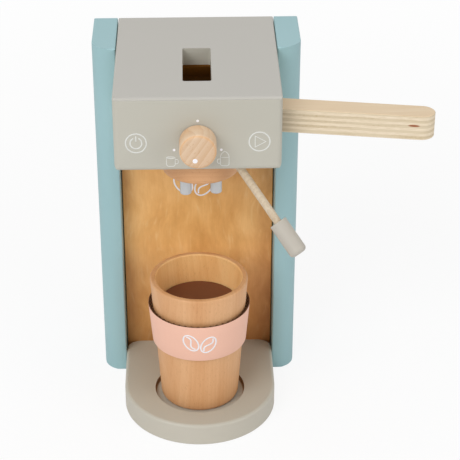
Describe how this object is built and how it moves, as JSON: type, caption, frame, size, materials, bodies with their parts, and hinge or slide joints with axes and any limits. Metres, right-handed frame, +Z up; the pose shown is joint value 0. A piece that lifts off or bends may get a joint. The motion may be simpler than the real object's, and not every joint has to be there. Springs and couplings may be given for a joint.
{
  "type": "toy coffee maker",
  "caption": "Wooden toy coffee maker with selector knob, swinging lever, turning brew head, steam wand and lift-out cup with sleeve.",
  "frame": {"origin": "on the table, on the underside of the base plate, in the middle plane, in line with the front faces of the side panels", "axes": "+X to the machine's right as seen from the front, +Y to the back, +Z up"},
  "size_m": [0.2017, 0.1451, 0.2344],
  "materials": {
    "teal_paint": "satin paint on MDF",
    "beige_paint": "satin paint on MDF",
    "birch_ply": "clear lacquer on birch plywood",
    "lever_ply": "sanded birch plywood with open plies on its edges",
    "raw_wood": "sanded, unpainted",
    "beech": "turned beech, matt",
    "beech_dowel": "beech dowel, matt",
    "grey_lacquer": "silver grey lacquer",
    "coffee_paint": "brown paint, satin",
    "pink_card": "matt coated card",
    "brown_card": "corrugated brown card",
    "fibre": "pressed fibre washer",
    "steel": "zinc plated"
  },
  "bodies": {
    "machine": {"left_side_panel": "teal_paint", "right_side_panel": "teal_paint", "back_panel": "birch_ply", "rear_crossbar": "raw_wood", "left_cleat": "raw_wood", "right_cleat": "raw_wood", "base_plate": "beige_paint", "base_dowels": "beech_dowel", "panel_dowels": "beech_dowel", "head_top_board": "beige_paint", "head_front_board": "beige_paint", "head_bottom_board": "beige_paint", "head_left_cheek": "beige_paint", "head_right_cheek": "beige_paint", "head_rear_board": "raw_wood", "head_screws": "steel", "lever_pin": "beech_dowel", "lever_washer": "fibre", "lever_spacer": "beech_dowel", "brew_washer": "fibre"},
    "selector": {"knob": "beech", "knob_shaft": "beech_dowel", "knob_washer": "steel", "knob_screw": "steel"},
    "lever_arm": {"lever": "lever_ply"},
    "brew_head": {"brew_disc": "beech", "left_spout": "grey_lacquer", "right_spout": "grey_lacquer", "brew_pin": "beech_dowel"},
    "steam_wand": {"wand_swivel": "beige_paint", "wand_rod": "beech_dowel", "wand_tip": "beige_paint"},
    "cup": {"cup_body": "beech"},
    "coffee": {"coffee_insert": "coffee_paint"},
    "sleeve": {"cup_sleeve": "pink_card", "sleeve_liner": "brown_card"}
  },
  "joints": [
    {"name": "knob_turn", "type": "hinge", "parent": "machine", "child": "selector", "pos_m": [0, -0.0722, 0.2075], "axis": [0, -1, 0], "continuous": true},
    {"name": "lever_swing", "type": "hinge", "parent": "machine", "child": "lever_arm", "pos_m": [0.034, -0.0433, 0.2112], "axis": [0, 0, -1], "range_deg": [-9.2, 17.8]},
    {"name": "brew_turn", "type": "hinge", "parent": "machine", "child": "brew_head", "pos_m": [0.0018, -0.0394, 0.1807], "axis": [0, 0, 1], "continuous": true},
    {"name": "wand_swing", "type": "hinge", "parent": "machine", "child": "steam_wand", "pos_m": [0.02168, -0.0624, 0.1888], "axis": [0, 0, 1], "range_deg": [-120, 95]},
    {"name": "cup_lift", "type": "slide", "parent": "machine", "child": "cup", "axis": [0, 0, 1], "range_m": [0, 0.03]},
    {"name": "coffee_lift", "type": "slide", "parent": "cup", "child": "coffee", "axis": [0, 0, 1], "range_m": [0, 0.044]},
    {"name": "sleeve_slide", "type": "slide", "parent": "cup", "child": "sleeve", "axis": [0, 0, -1], "range_m": [0, 0.038]}
  ]
}
